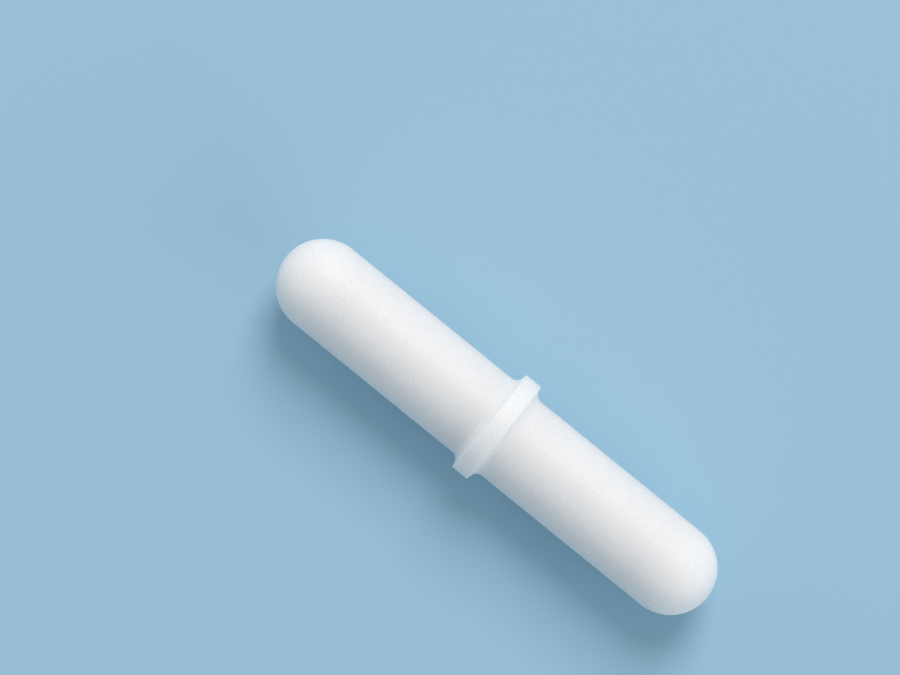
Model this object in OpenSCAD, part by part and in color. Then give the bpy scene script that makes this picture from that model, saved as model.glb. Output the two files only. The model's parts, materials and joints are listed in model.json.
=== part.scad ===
// Magnetic stirring bar with a pivot ring.
// A cylindrical magnet is sealed inside a moulded PTFE jacket, which is one piece:
// a round body, two hemispherical ends and a ring round the middle that the bar spins on.
// The bar lies along X, and the origin is the centre of the ring. Millimetres.

/* [Body] */
// Diameter of the jacket's body
bar_diameter = 8; // [7:0.1:12]
// Length of the jacket from tip to tip
bar_length = 45.8; // [30:0.1:80]

/* [Pivot ring] */
// Height of the ring above the body
ring_height = 1; // [0.6:0.05:2]
// Width of the ring's rim, measured between its two flanks
ring_width = 1.6; // [0.8:0.05:3]
// Lean of each flank, in degrees from square to the body
flank_angle = 13; // [0:1:25]
// Radius of the fillet that runs from each flank into the body
root_fillet = 0.7; // [0.2:0.05:0.75]
// Chamfer that breaks the two edges of the rim
edge_break = 0.1; // [0.04:0.02:0.3]

/* [Jacket] */
// Wall between the magnet's pocket and the surface of the body
side_wall = 1.5; // [0.8:0.05:2]
// Wall between each end of the pocket and the tip of the jacket
end_wall = 5; // [4:0.1:8]

/* [Magnet] */
// Gap between the magnet and the wall of its pocket, on every side
magnet_clearance = 0.05; // [0.02:0.01:0.2]
// Chamfer on the edges of the magnet's two end faces
magnet_chamfer = 0.4; // [0.2:0.05:0.8]

/* [Hidden] */
$fn = 96;

body_radius = bar_diameter / 2;
// Each end is a hemisphere, so the straight part stops one radius short of the tip
straight_length = bar_length - bar_diameter;

ring_radius = body_radius + ring_height;
// Half the ring's width at a given radius, on the straight line of its flank
function flank_at(radius) = ring_width / 2 + (ring_radius - radius) * tan(flank_angle);

// The fillet is tangent to the flank and to the body, and stays clear of the broken edge
fillet_limit = (ring_height - edge_break) / (1 - sin(flank_angle));
fillet_radius = min(root_fillet, fillet_limit);
fillet_top = body_radius + fillet_radius * (1 - sin(flank_angle));
ring_root = flank_at(fillet_top) + fillet_radius * cos(flank_angle);

pocket_radius = body_radius - side_wall;
pocket_length = bar_length - 2 * end_wall;

// Turns a half section about the bar's axis. The section's x is the distance from
// the axis, and its y is the distance from the middle of the ring along the bar.
module turned() {
    rotate([0, 90, 0]) rotate_extrude() children();
}

// Half section of the body, with its two hemispherical ends
module body_section() {
    translate([0, -straight_length / 2]) square([body_radius, straight_length]);
    intersection() {
        for (end = [-1, 1])
            translate([0, end * straight_length / 2]) circle(r = body_radius);
        translate([0, -bar_length / 2]) square([body_radius, bar_length]);
    }
}

// Half section of the pivot ring. Its foot is buried to half the depth of the wall.
module ring_section() {
    right_side = [
        [ring_radius, ring_width / 2 - edge_break],
        [ring_radius - edge_break, flank_at(ring_radius - edge_break)],
        [fillet_top, flank_at(fillet_top)],
        [body_radius, ring_root],
        [body_radius - side_wall / 2, ring_root]
    ];
    left_side = [for (i = [len(right_side) - 1:-1:0]) [right_side[i][0], -right_side[i][1]]];
    difference() {
        polygon(concat(right_side, left_side));
        for (side = [-1, 1])
            translate([body_radius + fillet_radius, side * ring_root]) circle(r = fillet_radius);
    }
}

// A round rod with chamfered ends, for the magnet and for the pocket moulded round it
module chamfered_rod(radius, length, chamfer) {
    turned() polygon([
        [0, -length / 2],
        [radius - chamfer, -length / 2],
        [radius, chamfer - length / 2],
        [radius, length / 2 - chamfer],
        [radius - chamfer, length / 2],
        [0, length / 2]
    ]);
}

module ptfe_jacket() {
    color([0.95, 0.95, 0.95]) difference() {
        turned() {
            body_section();
            ring_section();
        }
        chamfered_rod(pocket_radius, pocket_length, magnet_chamfer);
    }
}

module bar_magnet() {
    color([0.46, 0.47, 0.49]) chamfered_rod(
        pocket_radius - magnet_clearance,
        pocket_length - 2 * magnet_clearance,
        magnet_chamfer
    );
}

ptfe_jacket();
bar_magnet();
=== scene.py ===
import json
import math

import bmesh
import bpy
from mathutils import Matrix, Vector


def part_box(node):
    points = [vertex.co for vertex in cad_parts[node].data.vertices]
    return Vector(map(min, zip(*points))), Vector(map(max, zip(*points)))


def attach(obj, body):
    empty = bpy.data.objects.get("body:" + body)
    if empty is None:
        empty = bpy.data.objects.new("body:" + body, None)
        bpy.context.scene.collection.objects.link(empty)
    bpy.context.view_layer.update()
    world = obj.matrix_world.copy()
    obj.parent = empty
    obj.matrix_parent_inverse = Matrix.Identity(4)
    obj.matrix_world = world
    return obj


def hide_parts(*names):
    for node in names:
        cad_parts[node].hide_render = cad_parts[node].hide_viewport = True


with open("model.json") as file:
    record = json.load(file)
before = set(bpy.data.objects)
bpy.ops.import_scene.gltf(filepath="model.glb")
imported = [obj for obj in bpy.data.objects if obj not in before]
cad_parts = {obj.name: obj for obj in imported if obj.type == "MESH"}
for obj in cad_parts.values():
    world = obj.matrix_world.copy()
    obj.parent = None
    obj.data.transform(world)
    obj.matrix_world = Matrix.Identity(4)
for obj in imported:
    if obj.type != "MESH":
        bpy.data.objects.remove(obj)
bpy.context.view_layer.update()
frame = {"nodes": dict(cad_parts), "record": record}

# --- Jacket ---------------------------------------------------------------------------
# The white jacket is one piece of PTFE, moulded under pressure from powder round the
# magnet and then sintered. Body, round ends and pivot ring are turned here as one shell,
# with the closed pocket inside it.

MM = 0.001

mount = {m["name"]: m for m in frame["record"]["mounts"]}
body_radius = mount["body_plus_x"]["dims"]["r_mm"] * MM
ring_radius = mount["pivot_ring"]["dims"]["r_mm"] * MM
edge_break = 0.1 * MM
# The mount is the flat land, and the ring is wider by the two broken edges
ring_half = mount["pivot_ring"]["dims"]["length_mm"] * MM / 2 + edge_break
flank_lean = math.radians(13)
root_fillet = 0.7 * MM
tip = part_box("ptfe_jacket")[1].x

magnet_end, magnet_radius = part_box("bar_magnet")[1].x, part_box("bar_magnet")[1].z
magnet_clearance = 0.05 * MM
magnet_chamfer = 0.4 * MM
pocket_end = magnet_end + magnet_clearance
pocket_radius = magnet_radius + magnet_clearance

TURN_STEPS = 192
# No edge of a half section is left longer than this
FACE_LENGTH = 0.8 * MM
MERGE_DISTANCE = 0.0001 * MM


def turn_half(bm, corners):
    """Turns a half section about X and mirrors it. Corners are (x, radius, setback, segments)."""
    points = [bm.verts.new((x, 0, radius)) for x, radius, *_ in corners]
    for pair in zip(points, points[1:]):
        bm.edges.new(pair)
    for point, (x, radius, setback, segments) in zip(points, corners):
        if setback:
            bmesh.ops.bevel(
                bm, geom=[point], offset=setback, segments=segments, profile=0.5,
                affect="VERTICES", clamp_overlap=False, material=-1,
            )
    bmesh.ops.remove_doubles(bm, verts=bm.verts, dist=MERGE_DISTANCE)
    for edge in [e for e in bm.edges if e.calc_length() > FACE_LENGTH]:
        cuts = int(edge.calc_length() / FACE_LENGTH)
        bmesh.ops.subdivide_edges(bm, edges=[edge], cuts=cuts)
    bmesh.ops.spin(
        bm, geom=bm.verts[:] + bm.edges[:], cent=(0, 0, 0), axis=(1, 0, 0),
        angle=math.tau, steps=TURN_STEPS, use_merge=True, use_duplicate=False,
    )
    bmesh.ops.mirror(
        bm, geom=bm.verts[:] + bm.edges[:] + bm.faces[:], matrix=Matrix.Identity(4),
        merge_dist=MERGE_DISTANCE, axis="X",
    )
    bmesh.ops.remove_doubles(bm, verts=bm.verts, dist=MERGE_DISTANCE)
    bmesh.ops.recalc_face_normals(bm, faces=bm.faces)


def finished_object(bm, name):
    """The bmesh as a smooth object at the origin."""
    mesh = bpy.data.meshes.new(name)
    bm.to_mesh(mesh)
    bm.free()
    mesh.shade_smooth()
    piece = bpy.data.objects.new(name, mesh)
    bpy.context.scene.collection.objects.link(piece)
    return piece


# A fillet's tangent points lie this far from the corner that its two lines make
fillet_setback = root_fillet * math.tan((math.pi / 2 - flank_lean) / 2)
flank_foot = ring_half + (ring_radius - body_radius) * math.tan(flank_lean)

outside = bmesh.new()
turn_half(outside, [
    (0, ring_radius, 0, 0),
    (ring_half, ring_radius, edge_break, 6),
    (flank_foot, body_radius, fillet_setback, 16),
    (tip, body_radius, body_radius, 40),
    (tip, 0, 0, 0),
])
inside = bmesh.new()
turn_half(inside, [
    (0, pocket_radius, 0, 0),
    (pocket_end, pocket_radius, magnet_chamfer, 1),
    (pocket_end, 0, 0, 0),
])
bmesh.ops.reverse_faces(inside, faces=inside.faces)
pocket = bpy.data.meshes.new("pocket")
inside.to_mesh(pocket)
inside.free()
outside.from_mesh(pocket)
bpy.data.meshes.remove(pocket)
jacket = finished_object(outside, "jacket_moulding")


def linear(hex_colour):
    """An sRGB hex colour as the linear one that a shader takes."""
    parts = [int(hex_colour[i:i + 2], 16) / 255 for i in (1, 3, 5)]
    return (*[p / 12.92 if p <= 0.04045 else ((p + 0.055) / 1.055) ** 2.4 for p in parts], 1)


def add_node(tree, kind, values=None, links=None, **settings):
    """Adds a shader node, sets its sockets and properties, and links its inputs."""
    node = tree.nodes.new("ShaderNode" + kind)
    for name, value in settings.items():
        setattr(node, name, value)
    for socket, value in (values or {}).items():
        node.inputs[socket].default_value = value
    for socket, source in (links or {}).items():
        tree.links.new(source, node.inputs[socket])
    return node


def new_material(name):
    """A material with an empty node tree."""
    material = bpy.data.materials.new(name)
    material.use_nodes = True
    material.node_tree.nodes.clear()
    return material


# Moulded and sintered PTFE: white and a little translucent, so light spreads inside it and
# fills the ring and the ends. The face is waxy, with a weak sheen and the grain of the powder.
# The hollows of the grain's relief are also painted a shade darker, which is painted shade in
# the pits. The real grain is about 0.05 mm, too fine to show, so it is drawn at 0.2 mm. The white
# also varies by a shade over a few millimetres, where the powder was packed more or less closely.
grain_width = 0.2 * MM
grain_height = 0.03 * MM
cloud_width = 2.4 * MM
scatter_depth = 1.9 * MM
moulded_ptfe = new_material("moulded_ptfe")
tree = moulded_ptfe.node_tree
place = add_node(tree, "TexCoord").outputs["Object"]
grains = add_node(
    tree, "TexNoise", {"Scale": 1 / grain_width, "Detail": 2, "Roughness": 0.6}, {"Vector": place},
)
# Painted shade: where the grain's relief dips, the white is painted darker, down to #f2f2f3
grain_and_pit_shade = add_node(
    tree, "MapRange", {"From Min": 0.3, "From Max": 0.6}, {"Value": grains.outputs["Fac"]},
)
clouds = add_node(
    tree, "TexNoise", {"Scale": 1 / cloud_width, "Detail": 3, "Roughness": 0.55}, {"Vector": place},
)
whites = add_node(
    tree, "MixRGB", {"Color1": linear("#f8f8f7"), "Color2": linear("#ffffff")},
    {"Fac": clouds.outputs["Fac"]},
)
# The white's random drift, with the painted shade of the grain's hollows laid over it
tones_and_pit_shade = add_node(
    tree, "MixRGB", {"Color1": linear("#f2f2f3")},
    {"Fac": grain_and_pit_shade.outputs["Result"], "Color2": whites.outputs["Color"]},
)
relief = add_node(
    tree, "Bump", {"Strength": 1, "Distance": grain_height}, {"Height": grains.outputs["Fac"]},
)
shader = add_node(
    tree, "BsdfPrincipled",
    {"Roughness": 0.42, "IOR": 1.36, "Subsurface Weight": 0.9,
     "Subsurface Scale": scatter_depth, "Subsurface Radius": (1, 0.97, 0.94)},
    {"Base Color": tones_and_pit_shade.outputs["Color"], "Normal": relief.outputs["Normal"]},
)
add_node(tree, "OutputMaterial", links={"Surface": shader.outputs["BSDF"]})
jacket.data.materials.append(moulded_ptfe)

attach(jacket, "root")
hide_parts("ptfe_jacket")

# --- Magnet ---------------------------------------------------------------------------
# A rod magnet cast in an aluminium, nickel and cobalt alloy, with its end faces ground.
# It lies sealed in the jacket's pocket, so it keeps the frame's own mesh.

# Cast magnet alloy: a dark grey metal with the rough skin that the grains of its sand mould
# leave, which are about 0.5 mm.
sand_grain = 0.5 * MM
skin_height = 0.03 * MM
cast_magnet = new_material("cast_magnet_alloy")
tree = cast_magnet.node_tree
place = add_node(tree, "TexCoord").outputs["Object"]
skin = add_node(tree, "TexNoise", {"Scale": 1 / sand_grain, "Detail": 5}, {"Vector": place})
colour = add_node(
    tree, "MixRGB", {"Color1": linear("#77797c"), "Color2": linear("#96989b")},
    {"Fac": skin.outputs["Fac"]},
)
relief = add_node(
    tree, "Bump", {"Strength": 0.5, "Distance": skin_height}, {"Height": skin.outputs["Fac"]},
)
shader = add_node(
    tree, "BsdfPrincipled", {"Metallic": 1, "Roughness": 0.5},
    {"Base Color": colour.outputs["Color"], "Normal": relief.outputs["Normal"]},
)
add_node(tree, "OutputMaterial", links={"Surface": shader.outputs["BSDF"]})
magnet = frame["nodes"]["bar_magnet"]
magnet.data.materials.clear()
magnet.data.materials.append(cast_magnet)

# --- Floor ----------------------------------------------------------------------------
# A plain sheet of pale matt board, which reaches a metre to each side. The bar lies on it
# level, on the rim of its ring.

FLOOR_REACH = 1.0
ground = bmesh.new()
bmesh.ops.create_grid(ground, x_segments=1, y_segments=1, size=FLOOR_REACH)
bmesh.ops.translate(ground, verts=ground.verts, vec=(0, 0, -ring_radius))
floor = finished_object(ground, "floor")

# Matt board, evenly painted a pale blue, with no gloss at all.
pale_board = new_material("pale_board")
tree = pale_board.node_tree
shader = add_node(
    tree, "BsdfPrincipled",
    {"Base Color": linear("#a4cce2"), "Roughness": 1, "Specular IOR Level": 0},
)
add_node(tree, "OutputMaterial", links={"Surface": shader.outputs["BSDF"]})
floor.data.materials.append(pale_board)

# --- Light ----------------------------------------------------------------------------
# A soft lamp stands high to one side of the bar, a little warm against the cool room, which
# fills the shaded side. A low, wide lamp past each end keeps the round ends and the ring's
# flanks bright.

LAMP_DISTANCE = 1.5


def soft_lamp(name, towards, distance, width, height, level, colour="#ffffff"):
    """A lamp that looks at the bar. A level of 1 lights a face turned to it fully."""
    data = bpy.data.lights.new(name, "AREA")
    data.shape = "RECTANGLE"
    data.size, data.size_y = width, height
    data.color = linear(colour)[:3]
    data.energy = level * (math.pi * distance) ** 2
    lamp = bpy.data.objects.new(name, data)
    lamp.location = Vector(towards).normalized() * distance
    lamp.rotation_euler = Vector(towards).to_track_quat("Z", "Y").to_euler()
    lamp.visible_camera = False
    bpy.context.scene.collection.objects.link(lamp)


soft_lamp(
    "side_lamp", (-0.3, 0.85, 1), distance=LAMP_DISTANCE, width=0.7, height=0.9, level=0.635,
    colour="#fff4ef",
)
for name, end, level in (("plus_end_lamp", 1, 0.32), ("minus_end_lamp", -1, 0.15)):
    soft_lamp(name, (end, 0, 0.33), distance=LAMP_DISTANCE, width=1.4, height=0.9, level=level)

# The room lights the bar a little from all round. A ray that looks out at it, straight, by
# a reflection or through a clear thing, sees a pale wall.
world = bpy.data.worlds.new("studio")
bpy.context.scene.world = world
world.use_nodes = True
tree = world.node_tree
tree.nodes.clear()
room = add_node(tree, "Background", {"Color": linear("#dfeaf1"), "Strength": 0.43})
wall = add_node(tree, "Background", {"Color": linear("#a9cce1"), "Strength": 1})
ray = add_node(tree, "LightPath")
looks = ray.outputs["Is Camera Ray"]
for kind in ("Is Glossy Ray", "Is Transmission Ray"):
    either = add_node(tree, "Math", links={0: looks, 1: ray.outputs[kind]}, operation="MAXIMUM")
    looks = either.outputs["Value"]
studio = add_node(
    tree, "MixShader", links={0: looks, 1: room.outputs["Background"], 2: wall.outputs["Background"]},
)
add_node(tree, "OutputWorld", links={"Surface": studio.outputs["Shader"]})

# --- Camera ---------------------------------------------------------------------------
# A long lens looks straight down at the bar. The bar runs from the upper left to the
# lower right of the view, below and to the right of its middle.

bar_slope = math.radians(39.04)
view_width = 76.1 * MM
bar_right_of_centre = 3.94 * MM
bar_below_centre = 7.56 * MM

lens = bpy.data.cameras.new("camera")
lens.sensor_width = 36
lens.lens = 200
# The height over the bar's axis at which the lens takes in the view's width there
camera_height = view_width * lens.lens / lens.sensor_width
camera = bpy.data.objects.new("camera", lens)
camera.rotation_euler = (0, 0, bar_slope)
camera.location = Matrix.Rotation(bar_slope, 3, "Z") @ Vector(
    (-bar_right_of_centre, bar_below_centre, camera_height)
)
lens.clip_start = 0.01
lens.clip_end = 5
bpy.context.scene.collection.objects.link(camera)
bpy.context.scene.camera = camera
bpy.context.scene.view_settings.view_transform = "Standard"
